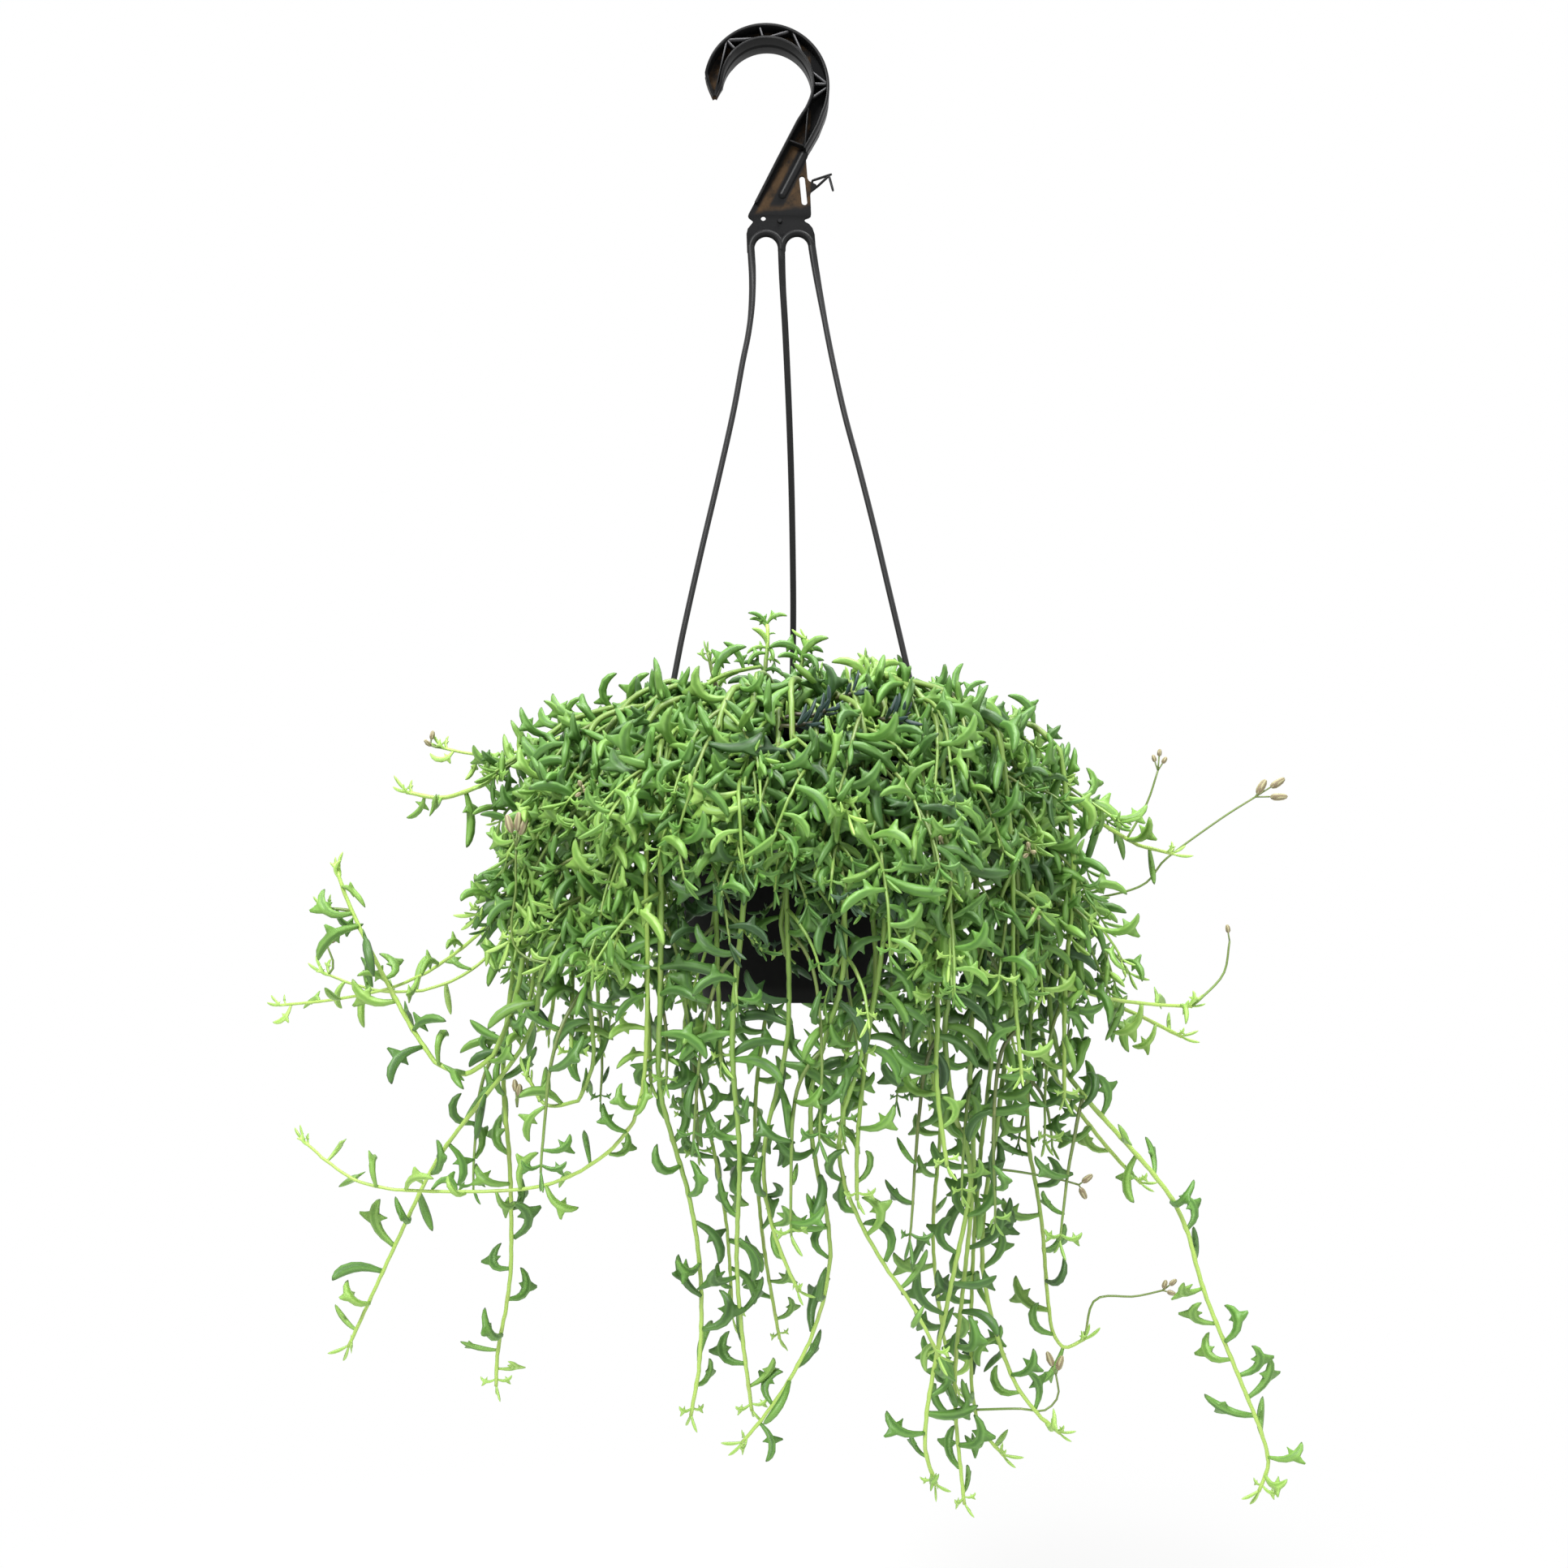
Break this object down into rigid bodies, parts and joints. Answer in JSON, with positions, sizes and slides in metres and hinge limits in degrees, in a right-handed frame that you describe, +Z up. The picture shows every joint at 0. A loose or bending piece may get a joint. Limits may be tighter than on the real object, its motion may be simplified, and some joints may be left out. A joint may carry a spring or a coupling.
{
  "type": "potted string of dolphins in a hanging pot",
  "caption": "Trailing succulent with dolphin-shaped leaves in a black plastic hanging pot, with a moulded hook and three strands clipped to the pot's rim.",
  "frame": {"origin": "the highest point of the hook's inner face, where it rests on the rail or ceiling hook that holds it", "axes": "+Z up along the hang line, -Y the front of the flat hook, +X towards the hook's shank"},
  "size_m": [0.496, 0.3394, 0.7237],
  "materials": {
    "hanger": "black moulded plastic, satin, with brown dust in the hollows of the hook",
    "pot": "black nursery pot plastic, matt",
    "soil": "dark fibrous potting mix with bark and perlite",
    "plant": "fleshy green leaves and yellow-green stems with a waxy gloss"
  },
  "bodies": {
    "root": {"hanger": "hanger", "pot": "pot", "shoot_back": "plant", "shoot_back_left": "plant", "shoot_left": "plant", "shoot_right": "plant", "shoot_second": "plant", "shoot_tallest": "plant", "soil": "soil", "trail_back_left_long": "plant", "trail_back_left_shoot": "plant", "trail_back_long": "plant", "trail_back_right_long": "plant", "trail_back_shoot": "plant", "trail_dome_01": "plant", "trail_dome_02": "plant", "trail_dome_03": "plant", "trail_dome_04": "plant", "trail_dome_05": "plant", "trail_dome_06": "plant", "trail_dome_07": "plant", "trail_dome_08": "plant", "trail_dome_09": "plant", "trail_dome_10": "plant", "trail_dome_11": "plant", "trail_dome_12": "plant", "trail_dome_13": "plant", "trail_dome_14": "plant", "trail_dome_15": "plant", "trail_dome_16": "plant", "trail_dome_17": "plant", "trail_dome_18": "plant", "trail_dome_19": "plant", "trail_dome_20": "plant", "trail_front_centre": "plant", "trail_front_crossing": "plant", "trail_front_hooked": "plant", "trail_front_left": "plant", "trail_front_mid_left": "plant", "trail_front_right_a": "plant", "trail_front_right_b": "plant", "trail_front_right_c": "plant", "trail_front_right_d": "plant", "trail_left_crossing": "plant", "trail_left_curl": "plant", "trail_left_high_shoot": "plant", "trail_left_low_shoot": "plant", "trail_left_rising": "plant", "trail_left_shoulder": "plant", "trail_left_slanting": "plant", "trail_left_straight": "plant", "trail_left_top_shoot": "plant", "trail_right_high_shoot": "plant", "trail_right_level_a": "plant", "trail_right_level_b": "plant", "trail_right_long": "plant", "trail_right_short": "plant", "trail_right_straight": "plant"}
  },
  "joints": []
}
